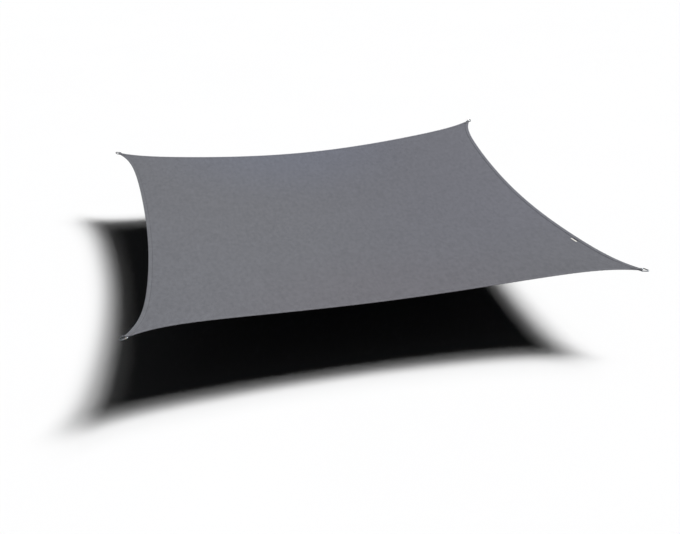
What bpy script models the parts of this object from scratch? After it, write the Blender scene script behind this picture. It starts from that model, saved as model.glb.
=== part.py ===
"""A square shade sail of knitted cloth, pulled tight by a steel ring at each corner.

Metres, +Z up, with the sail's front edge at -Y and its right edge at +X. The origin is the
middle of the square of corner points, at their height. The sail hangs by its rings, so all of
its cloth lies a little below the origin.
"""

import math
from collections import namedtuple

import bmesh
import bpy
from mathutils import Matrix, Vector

# Driving dimensions of the sail, in metres
SIDE = 3.600  # from corner point to corner point along one side
SAG = 0.087  # depth of each of the two hanging curves, one along X and one along Y
HANG_EASE = 0.6  # how much a hanging curve levels off before it reaches a corner
HORN_SHARE = 0.51  # share of an edge's curve that is spent on the horns at its two ends
HORN_POWER = 9.4  # how short and how sudden the horns are
HORN_OUT = 0.013  # how far outside the line between its two corner points an edge ends
HORN_LIMIT = 0.25  # the horns lie well within this share of an edge at its ends

# Cloth: two layers thick in the hem that runs round all four edges
CLOTH_THICKNESS = 0.0015
HEM_THICKNESS = 0.0030
HEM_WIDTH = 0.033
HEM_STEP = 0.002  # width of the slope between hem and field
TIP_CUT = 0.040  # the cloth ends this far before the corner point, between the webbing's plies
STATIONS = 36  # steps along each edge and across the field
EVEN_SPACING = 0.25  # share of a station's place that is even; the rest crowds to the ends

# Ring: round wire bent to a delta, its straight bar towards the cloth
WIRE = 0.008
BAR_INSET = 0.013  # from the corner point back to the middle of the bar
BAR_WIDTH = 0.044  # across the ring, wire middle to wire middle
NOSE_REACH = 0.033  # from the corner point out to the middle of the wire at the nose
BAR_BEND = 0.007  # bend radius at both ends of the bar, at the middle of the wire
NOSE_BEND = 0.011

# Webbing loop: one strap, folded round the bar and sewn to both faces of the horn
WEBBING_WIDTH = 0.028
WEBBING_THICKNESS = 0.002
WEBBING_REACH = 0.092  # from the corner point back to the sewn ends
RAMP_START = 0.038  # where the plies begin to part towards the bar
SEAT = 0.0004  # air between two pieces that touch

# Tag on the hem seam of the right edge, near the front corner
LABEL_FROM = 0.181  # along the right edge, as a share of its length
LABEL_TO = 0.2035
LABEL_TOP = 0.030  # inset of the tag's sewn side from the edge of the sail
LABEL_MIDDLE = 0.044  # inset of the line where its dark half ends
LABEL_BOTTOM = 0.057  # inset of its free side
LABEL_THICKNESS = 0.0010

CORNERS = {
    "front_left": (-1, -1),
    "front_right": (1, -1),
    "back_right": (1, 1),
    "back_left": (-1, 1),
}

# The edges in order round the sail, and how far the middle of each curves inwards
Edge = namedtuple("Edge", "name start end bow")
EDGES = (
    Edge("front", "front_left", "front_right", 0.203),
    Edge("right", "front_right", "back_right", 0.186),
    Edge("back", "back_right", "back_left", 0.218),
    Edge("left", "back_left", "front_left", 0.199),
)


# ---------------------------------------------------------------- the sail's surface


def hanging_curve(distance):
    """Share of the full sag at a distance from the middle line: 1 there, 0 at the corners."""
    u = distance / (SIDE / 2)
    return 1 - (1 + HANG_EASE) * u**2 + HANG_EASE * u**4


def height(point):
    """Height of the middle of the cloth over a point of the plan."""
    return -SAG * (hanging_curve(point.x) + hanging_curve(point.y))


def lifted(point, lift=0.0):
    """A point of the plan, raised to the middle of the cloth and then by lift."""
    return Vector((point.x, point.y, height(point) + lift))


def corner_point(name):
    """The point where the lines of two edges would meet, in plan."""
    x_sign, y_sign = CORNERS[name]
    return Vector((x_sign * SIDE / 2, y_sign * SIDE / 2))


def edge_frame(edge, t):
    """Place and direction of an edge in plan, at share t of the way along it."""
    start = corner_point(edge.start)
    along = (corner_point(edge.end) - start).normalized()
    inward = Vector((-along.y, along.x))
    u = 2 * t - 1
    curve = 1 - (1 - HORN_SHARE) * u**2 - HORN_SHARE * abs(u) ** HORN_POWER
    steepness = 2 * (1 - HORN_SHARE) * u
    steepness += HORN_SHARE * HORN_POWER * math.copysign(abs(u) ** (HORN_POWER - 1), u)
    depth = edge.bow + HORN_OUT
    point = start + SIDE * t * along + (depth * curve - HORN_OUT) * inward
    tangent = along - 2 * depth / SIDE * steepness * inward
    return point, tangent.normalized()


def edge_point(edge, t, inset=0.0):
    """A point of an edge in plan, moved into the sail by inset, square to the edge."""
    point, tangent = edge_frame(edge, t)
    return point + inset * Vector((-tangent.y, tangent.x))


def neighbours(corner):
    """The edge that ends at a corner and the one that starts there."""
    before = next(edge for edge in EDGES if edge.end == corner)
    after = next(edge for edge in EDGES if edge.start == corner)
    return before, after


def pull_axis(corner):
    """Direction in which a corner is pulled: outwards, halfway between its two edges."""
    before, after = neighbours(corner)
    return (edge_frame(before, 1)[1] - edge_frame(after, 0)[1]).normalized()


def across(axis):
    """The level direction square to an axis, to its left."""
    return Vector((-axis.y, axis.x))


def root(function, low, high):
    """Where a rising function crosses zero between low and high."""
    for _ in range(50):
        middle = (low + high) / 2
        if function(middle) < 0:
            low = middle
        else:
            high = middle
    return (low + high) / 2


def mitre_share(edge, inset, at_end):
    """Share of the way along an edge where its inset line meets the corner's centre line."""
    corner = edge.end if at_end else edge.start
    own_side = across(pull_axis(corner)) * (-1 if at_end else 1)

    def past(step):
        t = 1 - step if at_end else step
        return (edge_point(edge, t, inset) - corner_point(corner)).dot(own_side)

    # The line starts on the far side of the centre line and crosses it once
    step = root(past, 0, HORN_LIMIT)
    return 1 - step if at_end else step


def tip_share(edge, at_end):
    """Share of the way along an edge where the cloth's blunt tip is cut."""
    corner = edge.end if at_end else edge.start
    axis = pull_axis(corner)

    def past(step):
        t = 1 - step if at_end else step
        return (corner_point(corner) - edge_point(edge, t)).dot(axis) - TIP_CUT

    step = root(past, 0, HORN_LIMIT)
    return 1 - step if at_end else step


def spaced(low, high, steps):
    """Values from low to high, closer together towards both ends."""
    values = []
    for step in range(steps + 1):
        even = step / steps
        eased = (1 - math.cos(math.pi * even)) / 2
        share = EVEN_SPACING * even + (1 - EVEN_SPACING) * eased
        values.append(low + (high - low) * share)
    return values


# ---------------------------------------------------------------- making objects


def add_object(name, data, parent=None):
    """Put a mesh, a curve or an empty into the scene as a named object."""
    thing = bpy.data.objects.new(name, data)
    bpy.context.scene.collection.objects.link(thing)
    thing.parent = parent
    return thing


def make_material(name, colour, roughness, metallic=0.0):
    """A plain Principled material."""
    material = bpy.data.materials.new(name)
    material.use_nodes = True
    shader = material.node_tree.nodes["Principled BSDF"]
    shader.inputs["Base Color"].default_value = (*colour, 1.0)
    shader.inputs["Roughness"].default_value = roughness
    shader.inputs["Metallic"].default_value = metallic
    material.diffuse_color = (*colour, 1.0)
    return material


# ---------------------------------------------------------------- the cloth


def outline_row():
    """The cloth's outer edge in plan, one point after another, with a blunt tip at each corner."""
    row = []
    for edge in EDGES:
        row.append(corner_point(edge.start) - TIP_CUT * pull_axis(edge.start))
        shares = spaced(tip_share(edge, False), tip_share(edge, True), STATIONS - 2)
        row += [edge_point(edge, t) for t in shares]
    return row


def inset_row(inset):
    """A line at a constant distance inside the cloth's edge, mitred at the corners."""
    row = []
    for edge in EDGES:
        shares = spaced(mitre_share(edge, inset, False), mitre_share(edge, inset, True), STATIONS)
        row += [edge_point(edge, t, inset) for t in shares[:-1]]
    return row


def field_grid(row):
    """The sail's field in plan: a grid blended between the four sides of its border row."""
    n = STATIONS
    front = row[0 : n + 1]
    right = row[n : 2 * n + 1]
    back = row[2 * n : 3 * n + 1][::-1]
    left = (row[3 * n :] + row[:1])[::-1]
    share = spaced(0, 1, n)
    grid = {}
    for i in range(n + 1):
        for j in range(n + 1):
            s, t = share[i], share[j]
            between_rows = front[i].lerp(back[i], t)
            between_columns = left[j].lerp(right[j], s)
            corners = front[0].lerp(front[n], s).lerp(back[0].lerp(back[n], s), t)
            grid[i, j] = between_rows + between_columns - corners
    return grid


def border_cells():
    """Grid cells on the border of the field, in the order of a border row."""
    n = STATIONS
    cells = [(i, 0) for i in range(n)]
    cells += [(n, j) for j in range(n)]
    cells += [(n - i, n) for i in range(n)]
    cells += [(0, n - j) for j in range(n)]
    return cells


def make_cloth(material, parent):
    """The cloth as one closed sheet, thicker in its hem."""
    outer = outline_row()
    inner = inset_row(HEM_WIDTH)
    border = inset_row(HEM_WIDTH + HEM_STEP)
    grid = field_grid(border)

    bm = bmesh.new()
    hem_rows = [[bm.verts.new(lifted(point)) for point in row] for row in (outer, inner)]
    field = {cell: bm.verts.new(lifted(point)) for cell, point in grid.items()}
    rows = hem_rows + [[field[cell] for cell in border_cells()]]
    for outside, inside in zip(rows, rows[1:]):
        for k in range(len(outside)):
            after = (k + 1) % len(outside)
            bm.faces.new((outside[k], outside[after], inside[after], inside[k]))
    for i in range(STATIONS):
        for j in range(STATIONS):
            bm.faces.new((field[i, j], field[i + 1, j], field[i + 1, j + 1], field[i, j + 1]))
    bm.verts.index_update()
    hem_points = [vertex.index for row in hem_rows for vertex in row]
    field_points = [vertex.index for vertex in field.values()]
    mesh = bpy.data.meshes.new("sail_cloth")
    bm.to_mesh(mesh)
    bm.free()
    mesh.materials.append(material)
    mesh.shade_smooth()

    cloth = add_object("sail_cloth", mesh, parent)
    layers = cloth.vertex_groups.new(name="layers")
    layers.add(hem_points, 1.0, "REPLACE")
    layers.add(field_points, CLOTH_THICKNESS / HEM_THICKNESS, "REPLACE")
    solidify = cloth.modifiers.new("cloth thickness", "SOLIDIFY")
    solidify.thickness = HEM_THICKNESS
    solidify.offset = 0.0
    solidify.vertex_group = layers.name


# ---------------------------------------------------------------- rings and webbing


def belt(circles, arc_steps):
    """Outline of a band pulled tight round circles (x, y, radius), given anticlockwise."""
    points = []
    leaving = []
    for k, (x, y, radius) in enumerate(circles):
        next_x, next_y, next_radius = circles[(k + 1) % len(circles)]
        gap = Vector((next_x - x, next_y - y))
        turn = math.acos((radius - next_radius) / gap.length)
        leaving.append(math.atan2(gap.y, gap.x) - turn)
    for k, (x, y, radius) in enumerate(circles):
        first = leaving[k - 1]
        sweep = (leaving[k] - first) % (2 * math.pi)
        for step in range(arc_steps + 1):
            angle = first + sweep * step / arc_steps
            points.append(Vector((x + radius * math.cos(angle), y + radius * math.sin(angle), 0)))
    return points


def ring_curve(material):
    """Round wire along a delta: x points out of the corner, y lies across it."""
    bend_x = -BAR_INSET + BAR_BEND
    bend_y = BAR_WIDTH / 2 - BAR_BEND
    circles = (
        (NOSE_REACH - NOSE_BEND, 0.0, NOSE_BEND),
        (bend_x, bend_y, BAR_BEND),
        (bend_x, -bend_y, BAR_BEND),
    )
    points = belt(circles, arc_steps=8)
    curve = bpy.data.curves.new("corner_ring", "CURVE")
    curve.dimensions = "3D"
    curve.bevel_depth = WIRE / 2
    curve.bevel_resolution = 3
    curve.materials.append(material)
    spline = curve.splines.new("POLY")
    spline.points.add(len(points) - 1)
    for slot, point in zip(spline.points, points):
        slot.co = (*point, 1.0)
    spline.use_cyclic_u = True
    return curve


def ring_matrix(corner):
    """Place of a ring: on its corner point, along the pull, tilted as the cloth is there."""
    axis = pull_axis(corner)
    tip = corner_point(corner)
    rise = height(tip) - height(tip - BAR_INSET * axis)
    heading = Matrix.Rotation(math.atan2(axis.y, axis.x), 4, "Z")
    tilt = Matrix.Rotation(-math.atan2(rise, BAR_INSET), 4, "Y")
    return Matrix.Translation(lifted(tip)) @ heading @ tilt


def webbing_path(corner):
    """Middle line of a loop's strap as (reach, height): out on top, round the bar, back below."""
    axis = pull_axis(corner)
    tip = corner_point(corner)
    ply_lift = HEM_THICKNESS / 2 + SEAT + WEBBING_THICKNESS / 2
    turn_radius = WIRE / 2 + SEAT + WEBBING_THICKNESS / 2
    bar = ring_matrix(corner) @ Vector((-BAR_INSET, 0, 0))
    bar_reach = (bar.to_2d() - tip).dot(axis)

    flat_steps, ramp_steps, turn_steps = 6, 8, 12
    flat = [-WEBBING_REACH + (WEBBING_REACH - RAMP_START) * k / flat_steps for k in range(flat_steps)]
    ramp = [-RAMP_START + (bar_reach + RAMP_START) * k / ramp_steps for k in range(ramp_steps)]
    ply = []
    for reach in flat + ramp:
        share = max(0.0, (reach + RAMP_START) / (bar_reach + RAMP_START))
        ease = share * share * (3 - 2 * share)
        middle = height(tip + reach * axis)
        ply.append((reach, middle, ply_lift + (turn_radius - ply_lift) * ease))
    top = [(reach, middle + lift) for reach, middle, lift in ply]
    below = [(reach, middle - lift) for reach, middle, lift in reversed(ply)]
    turn = []
    for k in range(turn_steps + 1):
        angle = math.pi / 2 - math.pi * k / turn_steps
        reach = bar_reach + turn_radius * math.cos(angle)
        turn.append((reach, bar.z + turn_radius * math.sin(angle)))
    return [Vector(point) for point in top + turn + below]


def strap_section(path, thickness):
    """Closed outline of a strap of some thickness, seen edge on along its middle line."""
    faces = ([], [])
    for k, point in enumerate(path):
        before = path[max(k - 1, 0)]
        after = path[min(k + 1, len(path) - 1)]
        normal = Vector((before.y - after.y, after.x - before.x)).normalized()
        faces[0].append(point + normal * thickness / 2)
        faces[1].append(point - normal * thickness / 2)
    return faces[0] + faces[1][::-1]


def make_webbing(corner, material, parent):
    """One webbing loop: its edge-on outline, extruded to the strap's width."""
    axis = pull_axis(corner)
    side = across(axis).to_3d()
    tip = corner_point(corner)
    section = strap_section(webbing_path(corner), WEBBING_THICKNESS)
    bm = bmesh.new()
    corners = []
    for reach, level in section:
        point = tip + reach * axis
        corners.append(bm.verts.new(Vector((point.x, point.y, level)) - side * WEBBING_WIDTH / 2))
    face = bm.faces.new(corners)
    extruded = bmesh.ops.extrude_face_region(bm, geom=[face])
    moved = [item for item in extruded["geom"] if isinstance(item, bmesh.types.BMVert)]
    bmesh.ops.translate(bm, verts=moved, vec=side * WEBBING_WIDTH)
    bmesh.ops.recalc_face_normals(bm, faces=bm.faces)
    mesh = bpy.data.meshes.new(f"webbing_loop_{corner}")
    bm.to_mesh(mesh)
    bm.free()
    mesh.materials.append(material)
    mesh.shade_smooth()
    mesh.set_sharp_from_angle(angle=math.radians(30))
    add_object(mesh.name, mesh, parent)


# ---------------------------------------------------------------- the tag


def make_label(dark, pale, parent):
    """A flat two-tone tag that lies over the inner hem seam of the right edge."""
    edge = EDGES[1]
    top_of_hem = HEM_THICKNESS / 2
    top_of_field = CLOTH_THICKNESS / 2
    rows = (
        # inset from the sail's edge, top face of the cloth there
        (LABEL_TOP, top_of_hem),
        (HEM_WIDTH, top_of_hem),
        (HEM_WIDTH + HEM_STEP, top_of_field),
        (LABEL_MIDDLE, top_of_field),
        (LABEL_BOTTOM, top_of_field),
    )
    steps = 6
    shares = [LABEL_FROM + (LABEL_TO - LABEL_FROM) * k / steps for k in range(steps + 1)]
    bm = bmesh.new()
    lines = []
    for inset, cloth_top in rows:
        lift = cloth_top + SEAT + LABEL_THICKNESS / 2
        lines.append([bm.verts.new(lifted(edge_point(edge, t, inset), lift)) for t in shares])
    for outside, inside, row in zip(lines, lines[1:], rows):
        for k in range(steps):
            face = bm.faces.new((outside[k], outside[k + 1], inside[k + 1], inside[k]))
            face.material_index = 1 if row[0] >= LABEL_MIDDLE else 0
    mesh = bpy.data.meshes.new("hem_label")
    bm.to_mesh(mesh)
    bm.free()
    mesh.materials.append(dark)
    mesh.materials.append(pale)
    label = add_object("hem_label", mesh, parent)
    solidify = label.modifiers.new("tag thickness", "SOLIDIFY")
    solidify.thickness = LABEL_THICKNESS
    solidify.offset = 0.0


# ---------------------------------------------------------------- the whole sail


def main():
    for thing in list(bpy.data.objects):
        bpy.data.objects.remove(thing, do_unlink=True)

    cloth = make_material("grey knitted cloth", (0.18, 0.18, 0.20), roughness=0.85)
    webbing = make_material("grey webbing", (0.15, 0.15, 0.165), roughness=0.75)
    steel = make_material("polished steel", (0.75, 0.76, 0.78), roughness=0.18, metallic=1.0)
    dark_tape = make_material("dark tag", (0.02, 0.02, 0.025), roughness=0.7)
    pale_tape = make_material("pale tag", (0.80, 0.78, 0.75), roughness=0.7)

    sail = add_object("shade_sail", None)
    make_cloth(cloth, sail)
    make_label(dark_tape, pale_tape, sail)
    wire = ring_curve(steel)
    for corner in CORNERS:
        ring = add_object(f"corner_ring_{corner}", wire, sail)
        ring.matrix_local = ring_matrix(corner)
        make_webbing(corner, webbing, sail)


main()
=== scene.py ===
# %% [markdown]
# # A shade sail, from bare solids to a finished picture
#
# A shade sail is a square of knitted cloth with four edges cut hollow, so that it pulls tight
# when its corners are pulled apart. Each corner ends in a steel ring, held by a loop of webbing.
# The solids of the sail come in first and stay where they are. Everything below is built on
# them, at real size, in metres: a finer cloth with a sewn hem, its stitches, the webbing, the
# rings and the small tag at the right edge.

# %% Load the solids
import math

import bmesh
import bpy
import numpy as np
from mathutils import Matrix, Vector
from mathutils.bvhtree import BVHTree


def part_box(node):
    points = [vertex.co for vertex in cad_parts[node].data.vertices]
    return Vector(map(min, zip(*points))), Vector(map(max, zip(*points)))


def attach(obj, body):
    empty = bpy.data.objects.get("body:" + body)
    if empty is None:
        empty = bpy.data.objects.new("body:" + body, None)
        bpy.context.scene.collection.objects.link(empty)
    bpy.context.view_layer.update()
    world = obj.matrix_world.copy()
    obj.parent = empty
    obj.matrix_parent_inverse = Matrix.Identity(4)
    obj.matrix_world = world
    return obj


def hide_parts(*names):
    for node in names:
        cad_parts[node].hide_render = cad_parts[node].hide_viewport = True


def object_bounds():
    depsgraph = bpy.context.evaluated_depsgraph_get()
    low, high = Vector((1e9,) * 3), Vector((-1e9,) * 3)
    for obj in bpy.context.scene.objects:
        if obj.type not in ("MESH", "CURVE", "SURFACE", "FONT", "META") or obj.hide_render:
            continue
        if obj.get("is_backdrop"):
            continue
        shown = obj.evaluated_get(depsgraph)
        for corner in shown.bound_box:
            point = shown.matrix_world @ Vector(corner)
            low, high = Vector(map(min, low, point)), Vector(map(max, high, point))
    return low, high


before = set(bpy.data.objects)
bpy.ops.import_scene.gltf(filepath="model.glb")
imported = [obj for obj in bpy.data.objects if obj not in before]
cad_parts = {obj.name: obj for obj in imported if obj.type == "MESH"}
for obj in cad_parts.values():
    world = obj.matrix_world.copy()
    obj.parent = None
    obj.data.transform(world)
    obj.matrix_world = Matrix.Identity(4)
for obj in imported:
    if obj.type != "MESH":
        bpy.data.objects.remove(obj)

CAD_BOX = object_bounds()
print("solids:", sorted(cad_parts))
print("size of the solids:", [round(high - low, 4) for low, high in zip(*CAD_BOX)])

# %% [markdown]
# ## Camera
#
# The picture looks down on the sail from the front left. The place and the tilt of the camera
# were found by laying the sail's own outline over the picture: a square with level corners fits
# to a fifth of a pixel. The camera leans a little, so the matrix is made of three turns, one for
# where it faces, one for how far it looks down and one for the lean.

# %% Camera
CAMERA_PLACE = (-1.5024, -6.9665, 2.9583)
CAMERA_HEADING = 0.2116  # radians to the right of straight ahead
CAMERA_DOWN = 0.4641
CAMERA_LEAN = 0.0246
CAMERA_LENS, SENSOR_WIDTH = 48.45, 36.0  # both in millimetres

camera = bpy.data.objects.new("camera", bpy.data.cameras.new("camera"))
camera.data.lens = CAMERA_LENS
camera.data.sensor_width = SENSOR_WIDTH
camera.matrix_world = (
    Matrix.Translation(CAMERA_PLACE)
    @ Matrix.Rotation(-CAMERA_HEADING, 4, "Z")
    @ Matrix.Rotation(math.pi / 2 - CAMERA_DOWN, 4, "X")
    @ Matrix.Rotation(-CAMERA_LEAN, 4, "Z")
)
bpy.context.scene.collection.objects.link(camera)
bpy.context.scene.camera = camera
looks_along = camera.matrix_world.to_3x3() @ Vector((0, 0, -1))
print("camera looks along", [round(part, 3) for part in looks_along])

# %% [markdown]
# ## A short way to write node trees
#
# The sky and every finish are trees of nodes. A helper keeps them readable: each call adds one
# node, sets its inputs or links them to what other nodes put out, and gives back its own result.

# %% Node helper
class Wiring:
    """Adds nodes to a tree and links them."""

    def __init__(self, tree):
        self.tree = tree

    def feed(self, node, inputs):
        """Set inputs of a node, given by name or number, to values or link them to outputs."""
        for name, value in dict(inputs).items():
            if isinstance(value, bpy.types.NodeSocket):
                self.tree.links.new(value, node.inputs[name])
            else:
                node.inputs[name].default_value = value

    def node(self, kind, inputs=(), **settings):
        """Add a node and give its outputs."""
        node = self.tree.nodes.new(f"ShaderNode{kind}")
        for name, value in settings.items():
            setattr(node, name, value)
        self.feed(node, inputs)
        return node.outputs

    def math(self, operation, *values):
        """A sum, a product or another result of numbers."""
        return self.node("Math", enumerate(values), operation=operation)[0]

    def smooth(self, value, low, high, to_low=0.0, to_high=1.0):
        """A value mapped smoothly from one range to another."""
        ends = {"From Min": low, "From Max": high, "To Min": to_low, "To Max": to_high}
        return self.node("MapRange", {"Value": value, **ends}, interpolation_type="SMOOTHSTEP")[0]

    def colour(self, share, low, high):
        """A colour between two colours."""
        return self.node("Mix", {0: share, 6: low, 7: high}, data_type="RGBA")[2]

    def group(self, name, inputs):
        """A node group, placed with its own inputs."""
        return self.node("Group", inputs, node_tree=bpy.data.node_groups[name])

    def times(self, vector, factors):
        """A vector or a colour, multiplied part by part."""
        return self.node("VectorMath", {0: vector, 1: factors}, operation="MULTIPLY")[0]

    def toned(self, colour, tone):
        """A colour made lighter or darker as a whole."""
        return self.node("VectorMath", {0: colour, 3: tone}, operation="SCALE")[0]

    def noise(self, place, scale, detail):
        """Soft random patches."""
        return self.node("TexNoise", {"Vector": place, "Scale": scale, "Detail": detail})["Fac"]

    def bump(self, height, strength, distance):
        """The surface's direction, changed as if it had a relief."""
        return self.node("Bump", {"Height": height, "Strength": strength, "Distance": distance})[0]


print("calls of the node helper:", [name for name in vars(Wiring) if name[0] != "_"])

# %% [markdown]
# ## Light
#
# One large soft source stands high at the right, a little to the back. It is brightest in its
# middle and thins out to its sides, which gives the shadow a broad rim with a soft end. A sun
# lamp has an even face, so six of them side by side stand for the source: their places and
# strengths were fitted to the rim of the shadow. They let light bounce only once, so that the
# middle of the shadow stays nearly black. The sky lights matt surfaces only a little, but steel
# mirrors a brighter one, as it would the walls of a studio.

# %% Sun, sky and the way colours are shown
SUN_DIRECTION = (0.6025, 0.1871, 0.7759)  # from the sail towards the light
SUNS = (
    # degrees aside, degrees up, degrees across, strength
    (0, 0, 13, 1.43),
    (2, -4, 13, 1.23),
    (-4, 6, 10, 0.82),
    (10, 0, 10, 0.64),
    (-12, -2, 16, 0.43),
    (-12, 12, 16, 0.11),
)
SUN_BOUNCES = 1
SKY_FOR_GLOSS = {"Color": (0.93, 0.96, 1.0, 1.0), "Strength": 0.30}
SKY_FOR_MATT = {"Color": (0.9, 0.95, 1.0, 1.0), "Strength": 0.008}
SKY_SEEN = {"Color": (1.0, 1.0, 1.0, 1.0), "Strength": 1.0}

towards_light = Vector(SUN_DIRECTION)
aside = towards_light.cross((0, 0, 1)).normalized()
upwards = aside.cross(towards_light)
for degrees_aside, degrees_up, degrees_across, strength in SUNS:
    sun = bpy.data.objects.new("sun", bpy.data.lights.new("sun", "SUN"))
    sun.data.energy = strength
    sun.data.angle = math.radians(degrees_across)
    sun.data.cycles.max_bounces = SUN_BOUNCES
    tilt_aside = math.tan(math.radians(degrees_aside)) * aside
    tilt_up = math.tan(math.radians(degrees_up)) * upwards
    sun.rotation_mode = "QUATERNION"
    sun.rotation_quaternion = (towards_light + tilt_aside + tilt_up).to_track_quat("Z", "Y")
    bpy.context.scene.collection.objects.link(sun)

world = bpy.data.worlds.new("studio")
world.use_nodes = True
world.node_tree.nodes.clear()
bpy.context.scene.world = world
sky = Wiring(world.node_tree)
skies = [sky.node("Background", look)[0] for look in (SKY_FOR_GLOSS, SKY_FOR_MATT, SKY_SEEN)]
ray = sky.node("LightPath")
lighting = sky.node("MixShader", {0: ray["Is Diffuse Ray"], 1: skies[0], 2: skies[1]})[0]
shown = sky.node("MixShader", {0: ray["Is Camera Ray"], 1: lighting, 2: skies[2]})[0]
sky.node("OutputWorld", {"Surface": shown})

bpy.context.scene.view_settings.view_transform = "Standard"
sun_height = math.degrees(math.asin(SUN_DIRECTION[2]))
print(len(SUNS), "suns stand round", round(sun_height, 1), "degrees above the horizon")

# %% [markdown]
# ## The shape of the sail
#
# The sail is a square of corner points 3.6 m apart. Seen from above, each edge is a hollow
# curve: a broad bow over its middle and a short horn at each end, where the cloth runs out to
# the ring. Seen from the side, the cloth hangs in one curve from left to right and in another
# from front to back, and the two add up. The solids were made with the same few sizes, so a
# piece that is made from them lies on the solids with no fitting.

# %% Driving sizes, in metres
SIDE = 3.600
SAG = 0.087  # of each of the two hanging curves
HANG_EASE = 0.6  # how much a hanging curve levels out towards the edges
HORN_SHARE = 0.51  # share of an edge's bow that lies in its two horns
HORN_POWER = 9.4  # the higher, the shorter the horns
HORN_OUT = 0.013  # an edge ends this far outside its corner points, so a horn's tip is wide
HORN_LIMIT = 0.25  # every row of the cloth begins within this share of an edge
TIP_CUT = 0.040  # the cloth ends this far before the corner point

CORNERS = {
    "front_left": np.array((-1, -1)) * SIDE / 2,
    "front_right": np.array((1, -1)) * SIDE / 2,
    "back_right": np.array((1, 1)) * SIDE / 2,
    "back_left": np.array((-1, 1)) * SIDE / 2,
}
# Each edge runs from one corner to the next, and its middle is bowed inwards
EDGES = {
    "front": ("front_left", "front_right", 0.203),
    "right": ("front_right", "back_right", 0.186),
    "back": ("back_right", "back_left", 0.218),
    "left": ("back_left", "front_left", 0.199),
}
bows_mm = [round(1000 * bow) for _, _, bow in EDGES.values()]
print("a square of", SIDE, "m with edges bowed by", bows_mm, "mm")


# %% Lines of the edges
def unit(vectors):
    """Vectors scaled to length 1."""
    return vectors / np.linalg.norm(vectors, axis=-1, keepdims=True)


def left_of(directions):
    """Directions a quarter turn to the left of others."""
    return np.stack((-directions[..., 1], directions[..., 0]), axis=-1)


def hanging_curve(distance):
    """Share of the full sag at a distance from the middle line: 1 there, 0 at the corners."""
    u = distance / (SIDE / 2)
    return 1 - (1 + HANG_EASE) * u**2 + HANG_EASE * u**4


def edge_line(edge, t, inset=0.0):
    """Plan points at shares t of the way along an edge, moved into the sail by inset."""
    start, end, bow = EDGES[edge]
    t = np.asarray(t, float)[..., None]
    inset = np.asarray(inset, float)[..., None]
    along = (CORNERS[end] - CORNERS[start]) / SIDE
    inward = left_of(along)
    u = 2 * t - 1
    curve = 1 - (1 - HORN_SHARE) * u**2 - HORN_SHARE * np.abs(u) ** HORN_POWER
    steepness = 2 * (1 - HORN_SHARE) * u
    steepness = steepness + HORN_SHARE * HORN_POWER * np.sign(u) * np.abs(u) ** (HORN_POWER - 1)
    depth = bow + HORN_OUT
    tangent = unit(along - 2 * depth / SIDE * steepness * inward)
    offset = depth * curve - HORN_OUT
    return CORNERS[start] + SIDE * t * along + offset * inward + inset * left_of(tangent)


def edge_ends(edge, step=1e-5):
    """Directions of an edge where it leaves its first corner and where it reaches its last."""
    first = edge_line(edge, step) - edge_line(edge, 0)
    last = edge_line(edge, 1) - edge_line(edge, 1 - step)
    return unit(first), unit(last)


def pull_axis(corner):
    """Direction in which a corner is pulled: outwards, halfway between its two edges."""
    before = next(name for name, (_, end, _) in EDGES.items() if end == corner)
    after = next(name for name, (start, _, _) in EDGES.items() if start == corner)
    return unit(edge_ends(before)[1] - edge_ends(after)[0])


AXES = {corner: pull_axis(corner) for corner in CORNERS}


def seen_from(corner, plan):
    """How far plan points lie from a corner point: back along its pull, and to the side."""
    away = CORNERS[corner] - plan
    return away @ AXES[corner], away @ left_of(AXES[corner])


print("corners pull along", {name: axis.round(3).tolist() for name, axis in AXES.items()})

# %% [markdown]
# ## Small unevenness
#
# No sewn sail is quite even. The hem is stitched while the cloth lies flat, and it puckers a
# little when the stitches shorten it, and its folded edge swings in and out by less than a
# millimetre. From each webbing loop, shallow ridges run a short way into the cloth along the
# pull. All are written as formulas of the place on the cloth, so that the stitches and the tag
# can follow them too.

# %% Puckers in the hem and ridges at the corners
PUCKER_HEIGHT = 0.00045
PUCKER_WAVES = ((0.036, 1.0, 0.4), (0.0527, 0.7, 2.1), (0.083, 0.6, 4.4))  # length, share, phase
PUCKER_INSETS = (0.0, 0.023, 0.034, 0.062)  # distances from the folded edge
PUCKER_SHARES = (0.35, 1.0, 0.9, 0.0)  # and how much of the puckers is felt there
FOLD_SWING = 0.0005
FOLD_WAVES = ((0.031, 1.0, 0.9), (0.0443, 0.8, 3.0))
FOLD_FULL, FOLD_ENDS = 0.004, 0.022  # distances from the folded edge
FOLD_AT_CORNERS = 0.25  # share of the swing that is left there
EDGE_PHASE = 1.7  # shifts the waves from each edge to the next
CALM_UNTIL = 0.13  # no puckers this close to a corner, where the webbing lies
CALM_FADE = 0.18  # and they come in over this length
RIDGE_HEIGHT = 0.0011
RIDGE_ANGLES = (-9.0, 1.5, 10.5)  # degrees from the pull, seen from the corner point
RIDGE_SPREAD = 3.6  # degrees to each side over which a ridge dies away
RIDGE_FROM, RIDGE_FULL, RIDGE_TO = 0.11, 0.22, 0.80  # distances from the corner point


def eased(value, low, high):
    """0 below low, 1 above high, and smooth between them."""
    share = np.clip((value - low) / (high - low), 0, 1)
    return share * share * (3 - 2 * share)


def waves(edge, t, parts):
    """Uneven waves along an edge, other ones for each edge."""
    number = list(EDGES).index(edge)
    run = np.asarray(t, float) * SIDE
    return sum(
        share * np.sin(2 * np.pi * run / length + phase + EDGE_PHASE * number)
        for length, share, phase in parts
    )


def away_from_corners(t):
    """0 near the corners and 1 along the rest of an edge."""
    run = np.asarray(t, float) * SIDE
    return eased(np.minimum(run, SIDE - run), CALM_UNTIL, CALM_UNTIL + CALM_FADE)


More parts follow.
